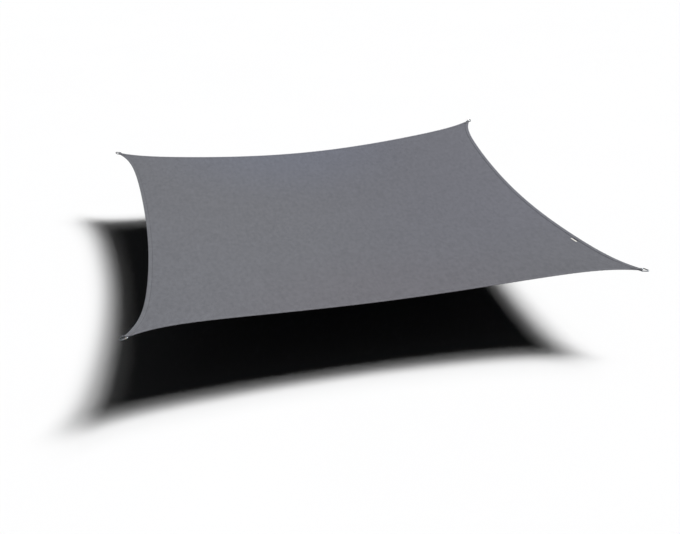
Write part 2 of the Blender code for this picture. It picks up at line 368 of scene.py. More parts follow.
def pucker(edge, t, inset):
    """How far the sewn hem's waves lift the cloth."""
    reach = np.interp(inset, PUCKER_INSETS, PUCKER_SHARES)
    return PUCKER_HEIGHT * waves(edge, t, PUCKER_WAVES) * reach * away_from_corners(t)


def fold_swing(edge, t, inset):
    """How far the folded edge swings into the sail."""
    reach = FOLD_AT_CORNERS + (1 - FOLD_AT_CORNERS) * away_from_corners(t)
    reach = (1 - eased(inset, FOLD_FULL, FOLD_ENDS)) * reach
    return FOLD_SWING * waves(edge, t, FOLD_WAVES) * reach


def ridges(plan):
    """How far the ridges at the corners lift the cloth."""
    lift = np.zeros(plan.shape[:-1])
    for corner in CORNERS:
        reach, aside = seen_from(corner, plan)
        angle = np.degrees(np.arctan2(aside, np.maximum(reach, RIDGE_FROM)))
        window = eased(reach, RIDGE_FROM, RIDGE_FULL) * (1 - eased(reach, RIDGE_FULL, RIDGE_TO))
        for middle in RIDGE_ANGLES:
            lift += RIDGE_HEIGHT * window * np.exp(-(((angle - middle) / RIDGE_SPREAD) ** 2))
    return lift


def middle_of_cloth(plan):
    """Points of the plan, raised to the middle of the cloth's thickness."""
    height = -SAG * (hanging_curve(plan[..., 0]) + hanging_curve(plan[..., 1]))
    return np.concatenate((plan, (height + ridges(plan))[..., None]), axis=-1)


print("deepest point of the cloth:", round(-2 * SAG, 3), "m below the corner points")

# %% [markdown]
# ## The cloth and its hem
#
# On the real sail the hem is the same cloth, folded under by 33 mm and sewn with two needles.
# It could be a second strip laid on the first, but then the fold would show as a gap. Here the
# sail is one closed sheet. Rows of points follow the edge at growing distances, and each row
# has its own half thickness: round at the fold, thick in the hem, pressed down under the two
# needle lines, deepest at the inner one, and thin again in the field. The inner groove draws the
# dark line along the right edge, where its steep side faces away from the light, so it is pressed
# in deepest there; the cloth's finish adds painted shade in the groove as well. The rows meet at
# the middle line of each corner. The field inside them is a coarser grid, blended between its
# four sides, since it is smooth.

# %% Section of the hem
STITCH_INSETS = (0.0268, 0.0308)  # distances of the two needle lines from the folded edge
FIELD_HALF = 0.00075  # half thickness of the single cloth
HEM_WIDTH = 0.0335
HEM_SECTION = (
    # distance from the folded edge and half thickness, in mm, and share of the groove's depth
    (0.0, 0.0, 0.0),
    (0.45, 1.02, 0.0),
    (1.5, 1.42, 0.0),
    (4.5, 1.55, 0.0),
    (12.0, 1.55, 0.0),
    (25.6, 1.52, 0.0),
    (26.8, 1.44, 0.0),
    (27.9, 1.5, 0.0),
    (28.8, 1.5, 0.0),
    (29.2, 1.5, 1.0),
    (31.9, 1.5, 1.0),
    (32.9, 0.85, 0.1),
    (34.8, 0.75, 0.0),
    (38.0, 0.75, 0.0),
    (50.0, 0.75, 0.0),
    (64.0, 0.75, 0.0),
)
SECTION = np.array(HEM_SECTION) * (0.001, 0.001, 1)
# How deep the groove is, which also sets the seam's painted shade, and how much painted light each
# edge's hem gets
GROOVE = {"front": 0.00020, "right": 0.00125, "back": 0.00020, "left": 0.00060, "corner": 0.00050}
HEM_PAINTED_LIGHT = {"front": 0.9, "right": 1.0, "back": 0.7, "left": 0.3, "corner": 0.8}


def half_thickness(inset, groove=GROOVE["corner"]):
    """Half of the cloth's thickness at a distance from the folded edge."""
    pressed = np.interp(inset, SECTION[:, 0], SECTION[:, 2])
    return np.interp(inset, SECTION[:, 0], SECTION[:, 1]) - groove * pressed


def along_hem(measure, edge, t):
    """A measure of the hem along an edge. Near the corners it is the same for all edges."""
    return measure["corner"] + (measure[edge] - measure["corner"]) * away_from_corners(t)


def skin(edge, t, inset, side=1, lift=0.0, pressed=True):
    """Points on the cloth's top (side 1) or under side (side -1), raised off it by lift."""
    half = half_thickness(inset, along_hem(GROOVE, edge, t) if pressed else 0.0)
    points = middle_of_cloth(edge_line(edge, t, inset + fold_swing(edge, t, inset)))
    points[..., 2] += pucker(edge, t, inset) + side * (half + lift)
    return points


print("hem:", len(SECTION), "rows, up to", round(2000 * SECTION[:, 1].max(), 2), "mm thick")

# %% Where each row begins and ends
HALVINGS = 40  # each one halves the stretch in which an end is looked for
EVEN_SPACING = 0.6  # the rest of a point's place crowds towards the two ends


def row_ends(edge, inset):
    """Shares of an edge between which its row lies, so that the rows of two edges meet."""
    ends = []
    for at_end in (False, True):
        low, high = 0.0, HORN_LIMIT
        for _ in range(HALVINGS):
            step = (low + high) / 2
            point = edge_line(edge, 1 - step if at_end else step, inset)
            reach, aside = seen_from(EDGES[edge][at_end], point)
            # On the wrong side of the corner's middle line, or past the cloth's blunt tip
            if min(aside if at_end else -aside, reach - TIP_CUT - inset) < 0:
                low = step
            else:
                high = step
        ends.append(1 - high if at_end else high)
    return ends


def spaced(low, high, steps):
    """Values from low to high, closer together towards both ends."""
    even = np.arange(steps + 1) / steps
    crowded = (1 - np.cos(np.pi * even)) / 2
    return low + (high - low) * (EVEN_SPACING * even + (1 - EVEN_SPACING) * crowded)


print("the outer row of the front edge runs between", np.round(row_ends("front", 0.0), 4).tolist())

# %% Rows of the hem
FIELD_STEPS = 96  # cells along each side of the field
HEM_PER_CELL = 6  # steps of the hem along one cell of the field
HEM_STEPS = FIELD_STEPS * HEM_PER_CELL
MEETING = 0.008  # two rows that end this close together end in one point
ROW_SHARES = {
    inset: [spaced(*row_ends(edge, inset), HEM_STEPS) for edge in EDGES] for inset in SECTION[:, 0]
}


def hem_row(inset, side):
    """One closed row of the cloth. Each edge has a point on the corner's middle line first."""
    lines = [skin(edge, t, inset, side) for edge, t in zip(EDGES, ROW_SHARES[inset])]
    middles = []
    for number, (start, _, _) in enumerate(EDGES.values()):
        ends = lines[number - 1][-1], lines[number][0]
        reach = np.mean([seen_from(start, end[:2])[0] for end in ends])
        middle = middle_of_cloth(CORNERS[start] - reach * AXES[start])
        middle[2] += side * half_thickness(inset)
        if np.linalg.norm(ends[0] - ends[1]) < MEETING:
            lines[number - 1][-1] = lines[number][0] = middle
        middles.append(middle)
    return np.concatenate([(middle, *line) for middle, line in zip(middles, lines)])


def row_values(inset, measure):
    """A measure of the hem at each point of a row, in the order of the row's points."""
    shares = zip(EDGES, ROW_SHARES[inset])
    return np.concatenate([(measure["corner"], *along_hem(measure, edge, t)) for edge, t in shares])


def seam_row(inset):
    """How deep the groove is at each point of a row, as a share of the deepest; the finish paints
    shade into the groove by it.
    """
    pressed = np.interp(inset, SECTION[:, 0], SECTION[:, 2])
    return row_values(inset, GROOVE) * pressed / max(GROOVE.values())


def painted_hem_light_row(inset):
    """How much painted light the hem gets at each point of a row, and 0 inward of the hem."""
    return row_values(inset, HEM_PAINTED_LIGHT) * (inset < HEM_WIDTH)


print("each row of the hem has", len(hem_row(0.0, 1)), "points")


# %% Field
def field_points(border, side):
    """The field's inner points, blended between the four sides of its border row."""
    row = border[:, :2].reshape(4, HEM_STEPS + 2, 2)[:, 1::HEM_PER_CELL]
    front, right, back, left = row[0], row[1], row[2, ::-1], row[3, ::-1]
    s = spaced(0, 1, FIELD_STEPS)[1:-1, None, None]
    t = spaced(0, 1, FIELD_STEPS)[None, 1:-1, None]
    rows = (1 - t) * front[1:-1, None] + t * back[1:-1, None]
    columns = (1 - s) * left[None, 1:-1] + s * right[None, 1:-1]
    ends = (1 - t) * ((1 - s) * front[0] + s * front[-1])
    ends = ends + t * ((1 - s) * back[0] + s * back[-1])
    points = middle_of_cloth(rows + columns - ends)
    points[..., 2] += side * FIELD_HALF
    return points.reshape(-1, 3)


def field_faces(border, inner):
    """Faces of the field. A cell on the border takes in the hem's extra points on that side."""
    n = FIELD_STEPS

    def place(i, j):
        """Place of a point round the border, or None if it lies inside."""
        if j == 0:
            return i
        if i == n:
            return n + j
        if j == n:
            return 3 * n - i
        return 4 * n - j if i == 0 else None

    def station(number):
        """The border row's point at a step round the border."""
        edge, step = divmod(number % (4 * HEM_STEPS), HEM_STEPS)
        return border + edge * (HEM_STEPS + 2) + 1 + step

    faces = []
    for i in range(n):
        for j in range(n):
            face = []
            cell = ((i, j), (i + 1, j), (i + 1, j + 1), (i, j + 1))
            for here, there in zip(cell, cell[1:] + cell[:1]):
                first, last = place(*here), place(*there)
                if first is None:
                    face.append(inner + (here[0] - 1) * (n - 1) + here[1] - 1)
                elif last is not None and (last - first) % (4 * n) == 1:
                    face += [station(first * HEM_PER_CELL + k) for k in range(HEM_PER_CELL)]
                else:
                    face.append(station(first * HEM_PER_CELL))
            faces.append(face)
    return faces


print("faces of the field:", len(field_faces(0, 0)))

# %% The whole cloth
SAME_POINT = 2e-5  # points closer than this become one


def change_mesh(mesh, operation, kind, **settings):
    """Run an operation of bmesh on all the points or faces of a mesh."""
    bm = bmesh.new()
    bm.from_mesh(mesh)
    operation(bm, **{kind: getattr(bm, kind)}, **settings)
    bm.to_mesh(mesh)
    bm.free()


def add_object(name, mesh):
    """Put a mesh into the scene as a named object."""
    thing = bpy.data.objects.new(name, mesh)
    bpy.context.scene.collection.objects.link(thing)
    return thing


def make_sail():
    """The cloth as one closed sheet: a top skin and an under skin that share the folded edge."""
    points, faces = [hem_row(0.0, 1)], []
    width = len(points[0])
    # the first of these lists holds the hem's painted light at each point, the second the groove
    # depth that sets the seam's painted shade
    painted_hem_light, seam = [painted_hem_light_row(0.0)], [np.zeros(width)]
    for side in (1, -1):
        rows = [0]
        for inset in SECTION[1:, 0]:
            rows.append(sum(map(len, points)))
            points.append(hem_row(inset, side))
            painted_hem_light.append(painted_hem_light_row(inset))
            seam.append(seam_row(inset))
        inner = sum(map(len, points))
        points.append(field_points(points[-1], side))
        painted_hem_light.append(np.zeros(len(points[-1])))
        seam.append(np.zeros(len(points[-1])))
        skin_faces = field_faces(rows[-1], inner)
        for outside, inside in zip(rows, rows[1:]):
            for k in range(width):
                after = (k + 1) % width
                skin_faces.append([outside + k, outside + after, inside + after, inside + k])
        faces += skin_faces if side == 1 else [face[::-1] for face in skin_faces]
    mesh = bpy.data.meshes.new("sail")
    mesh.from_pydata(np.concatenate(points), [], faces)
    for name, values in (("painted_hem_light", painted_hem_light), ("seam", seam)):
        attribute = mesh.attributes.new(name, "FLOAT", "POINT")
        attribute.data.foreach_set("value", np.concatenate(values).astype(np.float32))
    change_mesh(mesh, bmesh.ops.remove_doubles, "verts", dist=SAME_POINT)
    mesh.shade_smooth()
    return add_object("sail", mesh)


sail = make_sail()
print("cloth:", len(sail.data.vertices), "points,", len(sail.data.polygons), "faces")

# %% Check the cloth against its solid
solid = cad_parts["sail_cloth"].data
tree = BVHTree.FromPolygons(
    [v.co for v in solid.vertices], [tuple(p.vertices) for p in solid.polygons]
)
distances = [tree.find_nearest(v.co)[3] for v in sail.data.vertices]
print("cloth to its solid, largest distance in mm:", round(1000 * max(distances), 2))

# %% [markdown]
# ## Joined copies
#
# The sail has about eleven thousand stitches. As single objects they would be slow to handle,
# so one small shape is copied as plain numbers and all the copies become one mesh. Each point
# also keeps its place along and across its own piece, in metres, in an attribute called lay.
# The woven and twisted finishes read their pattern from it, whichever way a piece runs.

# %% Meshes from arrays
def lay_mesh(name, points, faces, along, across):
    """A smooth object whose points keep their place along and across the piece as lay."""
    mesh = bpy.data.meshes.new(name)
    mesh.from_pydata(points.reshape(-1, 3), [], faces)
    lay = np.zeros(points.shape, np.float32)
    lay[..., 0] = along
    lay[..., 1] = across
    attribute = mesh.attributes.new("lay", "FLOAT_VECTOR", "POINT")
    attribute.data.foreach_set("vector", lay.ravel())
    mesh.shade_smooth()
    return add_object(name, mesh)


def run_along(line):
    """Length of a line from its start up to each of its points."""
    steps = np.linalg.norm(np.diff(line, axis=0), axis=1)
    return np.concatenate(([0], np.cumsum(steps)))


def tube_faces(rings, sides, closed=False):
    """Quads of a tube of rings, each with some sides. An open tube gets a cap at both ends."""
    faces = []
    for ring in range(rings if closed else rings - 1):
        for k in range(sides):
            after = (k + 1) % sides
            here, there = ring * sides, (ring + 1) % rings * sides
            faces.append([here + k, here + after, there + after, there + k])
    if not closed:
        faces.append(list(range(sides))[::-1])
        faces.append([(rings - 1) * sides + k for k in range(sides)])
    return faces


print("an open tube of 4 rings with 5 sides has", len(tube_faces(4, 5)), "faces")

# %% One stitch
THREAD = 0.0008  # thickness of the thread
STITCH_SIDES = 5
STITCH_RINGS = ((-1.0, 0.35, -1.0), (-0.62, 0.95, 0.0), (0.62, 0.95, 0.0), (1.0, 0.35, -1.0))
angles = 2 * np.pi * np.arange(STITCH_SIDES) / STITCH_SIDES
STITCH = np.array(
    [
        # along in half lengths, across and up in thread radii
        (along, radius * math.cos(angle), dip + radius * math.sin(angle))
        for along, radius, dip in STITCH_RINGS
        for angle in angles
    ]
)
STITCH_FACES = [face for face in tube_faces(len(STITCH_RINGS), STITCH_SIDES) if len(face) == 4]
print("a stitch has", len(STITCH), "points and", len(STITCH_FACES), "sides")

# %% Rows of stitches
STITCH_REACH = 0.4  # half length of a stitch as a share of the pitch
TWIST_REACH = 0.002  # half length of a stitch as the twist of its thread sees it
TWIST_SHIFT = 0.0071  # moves the twist on from stitch to stitch


def stitch_row(line, pitch, side):
    """Points of the stitches along a line, on the top (side 1) or the under side (-1)."""
    run = run_along(line)
    middles = (np.arange(int(run[-1] / pitch)) + 0.5) * pitch
    ends = [
        np.stack([np.interp(middles + shift, run, line[:, k]) for k in range(3)], axis=1)
        for shift in (-STITCH_REACH * pitch, STITCH_REACH * pitch)
    ]
    along = (ends[1] - ends[0]) / 2
    forward = unit(along)
    up = unit(np.array((0, 0, side)) - forward * forward[:, 2:] * side)
    across = np.cross(up, forward)
    middle = (ends[0] + ends[1]) / 2
    return (
        middle[:, None]
        + STITCH[None, :, :1] * along[:, None]
        + STITCH[None, :, 1:2] * across[:, None] * THREAD / 2
        + STITCH[None, :, 2:] * up[:, None] * THREAD / 2
    )


def make_stitching(name, rows):
    """All the stitches of some rows as one object."""
    stitches = np.concatenate(rows)
    count, size = stitches.shape[:2]
    starts = size * np.arange(count)[:, None, None]
    faces = (np.array(STITCH_FACES)[None] + starts).reshape(-1, 4)
    ends = [np.arange(STITCH_SIDES)[::-1], size - STITCH_SIDES + np.arange(STITCH_SIDES)]
    caps = (np.array(ends)[None] + starts).reshape(-1, STITCH_SIDES)
    along = STITCH[:, 0] * TWIST_REACH + TWIST_SHIFT * np.arange(count)[:, None]
    across = np.tile(angles, len(STITCH_RINGS)) * THREAD / 2
    print(f"{name}: {count} stitches")
    return lay_mesh(name, stitches, faces.tolist() + caps.tolist(), along, across)


# %% [markdown]
# ## Stitches in the hem
#
# Two needles sew the hem in one pass, 4 mm apart. A lockstitch looks the same on both sides,
# so both sides get their rows. The rows stop where the webbing covers the corner, since its own
# stitches go through there.

# %% Hem stitching
HEM_PITCH = 0.005
LINE_STEPS = 1400  # points along each line of stitches
STRAP_REACH = 0.092  # from the corner point back to the webbing's sewn ends
STRAP_WIDTH = 0.028
CLEAR_BEHIND, CLEAR_BESIDE = 0.002, 0.0015  # left free of hem stitches round a strap


def clear_of_straps(line):
    """Mask of the points that no webbing covers."""
    clear = np.ones(len(line), bool)
    for corner in CORNERS:
        reach, aside = seen_from(corner, line[:, :2])
        beside = np.abs(aside) > STRAP_WIDTH / 2 + CLEAR_BESIDE
        clear &= beside | (reach > STRAP_REACH + CLEAR_BEHIND)
    return clear


hem_stitching = []
for edge in EDGES:
    rows = []
    for inset in STITCH_INSETS:
        t = np.linspace(*row_ends(edge, inset), LINE_STEPS)
        for side in (1, -1):
            line = skin(edge, t, inset, side)
            rows.append(stitch_row(line[clear_of_straps(line)], HEM_PITCH, side))
    hem_stitching.append(make_stitching(f"hem_stitching_{edge}", rows))

# %% [markdown]
# ## Rings
#
# Each corner pulls on a delta ring: round steel wire, 8 mm thick, bent to a rounded triangle
# with its straight bar in the webbing, and welded shut. A curve object with a bevel would do,
# but a mesh can also carry the weld, a slight swelling on one leg. The outline is the line of a
# belt round three circles. The ring is tilted the way the cloth rises at its corner.

# %% Outline of the ring
WIRE = 0.008
BAR_INSET = 0.013  # from the corner point back to the middle of the bar
BAR_WIDTH = 0.044
NOSE_REACH = 0.033  # from the corner point out to the wire's middle at the nose
BAR_BEND, NOSE_BEND = 0.007, 0.011  # radii of the bends
RING_ARC_STEPS = 28
RING_SIDES = 24
RING_SPACING = 0.0016  # points along the wire are no further apart
WELD_NEAR = (0.006, 0.0205)  # the weld is where the wire comes closest to this place
WELD_SWELL = 0.09  # how much thicker the wire is at the weld, as a share
WELD_LENGTH = 0.0032  # length to each side over which the swelling dies away


def belt(circles, arc_steps):
    """Outline of a band pulled tight round circles (x, y, radius), given anticlockwise."""
    leaving, points = [], []
    for k, (x, y, radius) in enumerate(circles):
        next_x, next_y, next_radius = circles[(k + 1) % len(circles)]
        gap = math.hypot(next_x - x, next_y - y)
        turn = math.acos((radius - next_radius) / gap)
        leaving.append(math.atan2(next_y - y, next_x - x) - turn)
    for k, (x, y, radius) in enumerate(circles):
        sweep = (leaving[k] - leaving[k - 1]) % (2 * math.pi)
        for step in range(arc_steps + 1):
            angle = leaving[k - 1] + sweep * step / arc_steps
            points.append((x + radius * math.cos(angle), y + radius * math.sin(angle)))
    return np.array(points)


def filled_in(loop, spacing):
    """A closed loop with points added, so that none are further apart than spacing."""
    out = []
    for here, there in zip(loop, np.roll(loop, -1, axis=0)):
        count = max(1, math.ceil(np.linalg.norm(there - here) / spacing))
        out += [here + (there - here) * k / count for k in range(count)]
    return np.array(out)


NOSE = (NOSE_REACH - NOSE_BEND, 0, NOSE_BEND)
LEFT_BEND, RIGHT_BEND = (
    (BAR_BEND - BAR_INSET, side * (BAR_WIDTH / 2 - BAR_BEND), BAR_BEND) for side in (1, -1)
)
ring_line = filled_in(belt((NOSE, LEFT_BEND, RIGHT_BEND), RING_ARC_STEPS), RING_SPACING)
ring_run = np.linalg.norm(ring_line - np.roll(ring_line, 1, axis=0), axis=1).cumsum()
print("wire in one ring:", round(1000 * ring_run[-1], 1), "mm")
print("eye of a ring:", round(1000 * (BAR_WIDTH - WIRE)), "mm wide")


# %% Ring objects
def ring_matrix(corner):
    """Place of a ring: on its corner point, along the pull, tilted as the cloth is there."""
    axis, tip = AXES[corner], CORNERS[corner]
    back = tip - BAR_INSET * axis
    rise = SAG * (hanging_curve(back[0]) + hanging_curve(back[1]))
    heading = Matrix.Rotation(math.atan2(axis[1], axis[0]), 4, "Z")
    tilt = Matrix.Rotation(-math.atan2(rise, BAR_INSET), 4, "Y")
    return Matrix.Translation((*tip, 0)) @ heading @ tilt


def make_ring(corner):
    """One ring, with its weld on the leg to the left of the pull."""
    weld_at = ring_run[np.argmin(np.linalg.norm(ring_line - np.array(WELD_NEAR), axis=1))]
    outwards = -left_of(unit(np.roll(ring_line, -1, axis=0) - np.roll(ring_line, 1, axis=0)))
    swell = 1 + WELD_SWELL * np.exp(-(((ring_run - weld_at) / WELD_LENGTH) ** 2))
    radius = WIRE / 2 * swell[:, None]
    turn = 2 * np.pi * np.arange(RING_SIDES) / RING_SIDES
    flat = ring_line[:, None] + (radius * np.cos(turn))[..., None] * outwards[:, None]
    local = np.concatenate((flat, (radius * -np.sin(turn))[..., None]), axis=-1)
    place = np.array(ring_matrix(corner))
    points = local @ place[:3, :3].T + place[:3, 3]
    faces = tube_faces(len(ring_line), RING_SIDES, closed=True)
    along = (ring_run - weld_at)[:, None]
    return lay_mesh(f"ring_{corner}", points, faces, along, across=turn * WIRE / 2)


rings = {corner: make_ring(corner) for corner in CORNERS}
print("rings:", [ring.name for ring in rings.values()])

# %% [markdown]
# ## Webbing loops
#
# A strap 28 mm wide is folded round the bar of the ring. Its two ends lie on the top and on the
# under side of the corner, with the tip of the cloth between them, and one seam goes through
# all three. Woven webbing has ribs along it and firm round sides, so its section is drawn with
# both and swept along the folded line. A plain extruded band would look like cut plastic.

# %% Section and folded line of a strap
STRAP_THICKNESS = 0.002
STRAP_RIBS = 9
RIB_HEIGHT = 0.00012
RIB_FADE = 10  # the higher, the nearer to the sides the ribs reach
SIDE_SQUARENESS = 14  # the higher, the squarer the sides
SECTION_SHARE = 0.995  # share of a quarter turn over which the points spread to each side
ACROSS_STEPS = 45
RAMP_START = 0.038  # this far before the corner point the plies begin to part for the bar
SEAT = 0.0002  # gap between a strap and what it lies on
HEM_HALF = 0.00155  # half thickness of the hem under a strap
FLAT_STEPS, RAMP_STEPS, TURN_STEPS = 34, 26, 20


def strap_section():
    """Points round the section of a strap, as (across, up) pairs."""
    angle = SECTION_SHARE * np.linspace(-np.pi / 2, np.pi / 2, ACROSS_STEPS)
    across = STRAP_WIDTH / 2 * np.sin(angle)
    share = across / (STRAP_WIDTH / 2)
    body = STRAP_THICKNESS / 2 * np.sqrt(1 - np.abs(share) ** SIDE_SQUARENESS)
    ribs = RIB_HEIGHT * (np.cos(np.pi * STRAP_RIBS * share) - 1) * (1 - share**RIB_FADE)
    top = np.stack((across, body + ribs), axis=1)
    return np.concatenate((top, top[::-1] * (1, -1)))


def strap_line(corner):
    """The folded line as pairs: distance from the corner point along the pull, and height."""
    axis, tip = AXES[corner], CORNERS[corner]
    bar = ring_matrix(corner) @ Vector((-BAR_INSET, 0, 0))
    bar_reach = (np.array(bar[:2]) - tip) @ axis
    ply = HEM_HALF + SEAT + STRAP_THICKNESS / 2
    turn = WIRE / 2 + SEAT + STRAP_THICKNESS / 2
    reach = np.concatenate(
        (
            np.linspace(-STRAP_REACH, -RAMP_START, FLAT_STEPS, endpoint=False),
            np.linspace(-RAMP_START, bar_reach, RAMP_STEPS, endpoint=False),
        )
    )
    lift = ply + (turn - ply) * eased(reach, -RAMP_START, bar_reach)
    middle = middle_of_cloth(tip + reach[:, None] * axis)[:, 2]
    angle = np.linspace(np.pi / 2, -np.pi / 2, TURN_STEPS + 1)
    around = np.stack((bar_reach + turn * np.cos(angle), bar.z + turn * np.sin(angle)), axis=1)
    out = np.stack((reach, middle + lift), axis=1)
    back = np.stack((reach, middle - lift), axis=1)[::-1]
    return np.concatenate((out, around, back))


print("strap section:", len(strap_section()), "points")


# %% Strap objects
END_ROUNDING = (0.55, 0.9)  # thickness of the first two sections at a heat-cut end


def make_strap(corner):
    """One webbing loop: its section swept along the folded line."""
    section, line, axis = strap_section(), strap_line(corner), AXES[corner]
    up = left_of(unit(np.gradient(line, axis=0)))
    thick = np.ones(len(line))
    thick[: len(END_ROUNDING)] = END_ROUNDING
    thick[-len(END_ROUNDING) :] = END_ROUNDING[::-1]
    raised = section[None, :, 1] * thick[:, None]
    at = line[:, None] + raised[..., None] * up[:, None]
    plan = CORNERS[corner] + at[..., :1] * axis + section[None, :, :1] * left_of(axis)
    points = np.concatenate((plan, at[..., 1:]), axis=-1)
    faces = tube_faces(len(line), len(section))
    run = run_along(line)
    strap = lay_mesh(f"webbing_{corner}", points, faces, run[:, None], across=section[:, 0])
    change_mesh(strap.data, bmesh.ops.recalc_face_normals, "faces")
    return strap, run[-1]


straps = {}
for corner in CORNERS:
    straps[corner], strap_length = make_strap(corner)
print("length of each strap before it is folded:", round(1000 * strap_length), "mm")

# %% [markdown]
# ## Stitches in the webbing
#
# A corner is sewn as a box with a cross in it, the strongest seam for a strap. The same pattern
# shows on the top and on the under side.

# %% Box and cross on each strap
BOX_FROM, BOX_TO = 0.0875, 0.0445  # distances before the corner point
BOX_HALF = 0.0105
BOX_PITCH = 0.0042
BOX_STEPS = 60  # points along each line of the box
THREAD_RISE = 0.1 * THREAD  # the middle of a thread lies this far above what it is sewn on
BOX = np.array([(reach, side * BOX_HALF) for reach in (BOX_FROM, BOX_TO) for side in (-1, 1)])
BOX_LINES = ((0, 1), (2, 3), (0, 2), (1, 3), (0, 3), (1, 2))  # four sides, then the cross


def box_rows(corner):
    """The stitches of the box and the cross, on both sides of a corner."""
    axis = AXES[corner]
    top = HEM_HALF + SEAT + STRAP_THICKNESS + THREAD_RISE
    rows = []
    for first, last in BOX_LINES:
        share = np.linspace(0, 1, BOX_STEPS)[:, None]
        reach, aside = np.split((1 - share) * BOX[first] + share * BOX[last], 2, axis=1)
        line = middle_of_cloth(CORNERS[corner] - reach * axis + aside * left_of(axis))
        for side in (1, -1):
            rows.append(stitch_row(line + np.array((0, 0, side * top)), BOX_PITCH, side))
    return rows


strap_stitching = {}
for corner in CORNERS:
    strap_stitching[corner] = make_stitching(f"webbing_stitching_{corner}", box_rows(corner))

# %% [markdown]
# ## Tag
#
# A small tag of woven tape, half dark and half pale, is sewn along the inner hem seam of the
# right edge, near the front corner. It stays plain. It is one thin closed strip that steps down
# from the hem to the field, and its free side stands up a little, as a tape does that is sewn
# along one side only.

# %% Tag
TAG_FROM, TAG_TO = 0.181, 0.2035  # shares of the way along the right edge
TAG_STEPS = 32
TAG_THICKNESS = 0.0007
TAG_ROWS = (
    # distances from the folded edge
    *(0.0300, 0.0304, 0.0308, 0.0314, 0.0321, 0.0336, 0.0352),
    *(0.0390, 0.0440, 0.0490, 0.0530, 0.0566, 0.0570),
)
TAG_GAP = 0.00025  # between the cloth and the tag
TAG_CURL = 0.0009  # how far its free side stands up
CURL_FROM, CURL_TO = 0.044, 0.058  # distances from the folded edge
CURL_UNEVEN = 0.3
CURL_WAVE = 9.0  # radians of the curl's wave along the tag
TAG_SIDE_RIM, TAG_END_RIM = 0.35, 0.5  # thickness at the rims, as a share of the tag's
tag_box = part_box("hem_label")
print("the tag's solid lies between", [[round(part, 4) for part in corner] for corner in tag_box])


def tag_cells(rows, columns):
    """Faces of the tag: its top, its under side and the four rims between them."""

    def number(layer, row, column):
        """Place of a point among all points of the tag."""
        return (layer * rows + row) * columns + column

    faces = []
    for row in range(rows - 1):
        for k in range(columns - 1):
            cell = [(row, k), (row, k + 1), (row + 1, k + 1), (row + 1, k)]
            faces.append([number(1, *place) for place in cell])
            faces.append([number(0, *place) for place in cell[::-1]])
    rim = [(0, k) for k in range(columns)]
    rim += [(row, columns - 1) for row in range(1, rows)]
    rim += [(rows - 1, k) for k in range(columns - 2, -1, -1)]
    rim += [(row, 0) for row in range(rows - 2, 0, -1)]
    for here, there in zip(rim, rim[1:] + rim[:1]):
        faces.append([number(0, *here), number(0, *there), number(1, *there), number(1, *here)])
    return faces


def make_tag():
    """The tag: a top and an under side, joined at their rims."""
    t = np.linspace(TAG_FROM, TAG_TO, TAG_STEPS + 1)
    uneven = 1 - CURL_UNEVEN + CURL_UNEVEN * np.sin(CURL_WAVE * np.linspace(0, 1, len(t)))
    under = np.array([skin("right", t, inset, 1, TAG_GAP, pressed=False) for inset in TAG_ROWS])
    under[..., 2] += TAG_CURL * eased(np.array(TAG_ROWS), CURL_FROM, CURL_TO)[:, None] * uneven
    rim = np.ones(under.shape[:2])
    rim[[0, -1]] = TAG_SIDE_RIM
    rim[:, [0, -1]] *= TAG_END_RIM
    middle = under + np.array((0, 0, TAG_THICKNESS / 2))
    half = (TAG_THICKNESS / 2 * rim)[..., None] * np.array((0, 0, 1))
    points = np.stack((middle - half, middle + half))
    across = np.array(TAG_ROWS)[:, None] - TAG_ROWS[0]
    return lay_mesh("tag", points, tag_cells(*under.shape[:2]), t * SIDE, across)


tag = make_tag()
print("tag:", len(tag.data.polygons), "faces")

# %% Seam of the tag
TAG_SEAM_INSET = 0.0336
TAG_SEAM_MARGIN = 0.0008  # left free at both ends, as a share of the way along the edge
TAG_SEAM_STEPS = 90
TAG_SEAM_PITCH = 0.0034

seam_at = np.linspace(TAG_FROM + TAG_SEAM_MARGIN, TAG_TO - TAG_SEAM_MARGIN, TAG_SEAM_STEPS)
seam_lift = TAG_GAP + TAG_THICKNESS + THREAD_RISE
seam = skin("right", seam_at, TAG_SEAM_INSET, 1, seam_lift, pressed=False)
tag_stitching = make_stitching("tag_stitching", [stitch_row(seam, TAG_SEAM_PITCH, 1)])

# %% [markdown]
# ## Groups and materials
#
# An effect that several finishes share is a node group with named inputs, built once and placed
# with other values each time. Every finish ends in one Principled shader.

# %% Helpers for groups and materials
def new_group(name, inputs, outputs):
    """The wiring and the inputs of an empty node group. All inputs but Place are numbers."""
    tree = bpy.data.node_groups.new(name, "ShaderNodeTree")
    tree.interface.new_socket("Place", in_out="INPUT", socket_type="NodeSocketVector")
    for key, value in inputs.items():
        socket = tree.interface.new_socket(key, in_out="INPUT", socket_type="NodeSocketFloat")
        socket.default_value = value
    for key in outputs:
        tree.interface.new_socket(key, in_out="OUTPUT", socket_type="NodeSocketFloat")
    return Wiring(tree), tree.nodes.new("NodeGroupInput").outputs


def close_group(wires, outputs):
    """Link what a group puts out."""
    wires.feed(wires.tree.nodes.new("NodeGroupOutput"), outputs)
    print("group:", wires.tree.name, "with", len(wires.tree.nodes), "nodes")


def new_material(name):
    """A material with its wiring and its Principled shader."""
    material = bpy.data.materials.new(name)
    material.use_nodes = True
    print("material:", name)
    return material, Wiring(material.node_tree), material.node_tree.nodes["Principled BSDF"]


# %% [markdown]
# ## Tone
#
# Cloth that is all one colour looks dead. On a real roll the yarn varies a little from wale to
# wale, and a hung cloth gathers a little dust in soft patches. One group does both for every
# fabric: a patchy noise, and a second noise drawn out into streaks. Each has its own size and
# its own amount.

# %% Node group: uneven tone
DRAWN_OUT = (1.0, 0.06, 1.0)  # a streak is about 17 times longer than wide

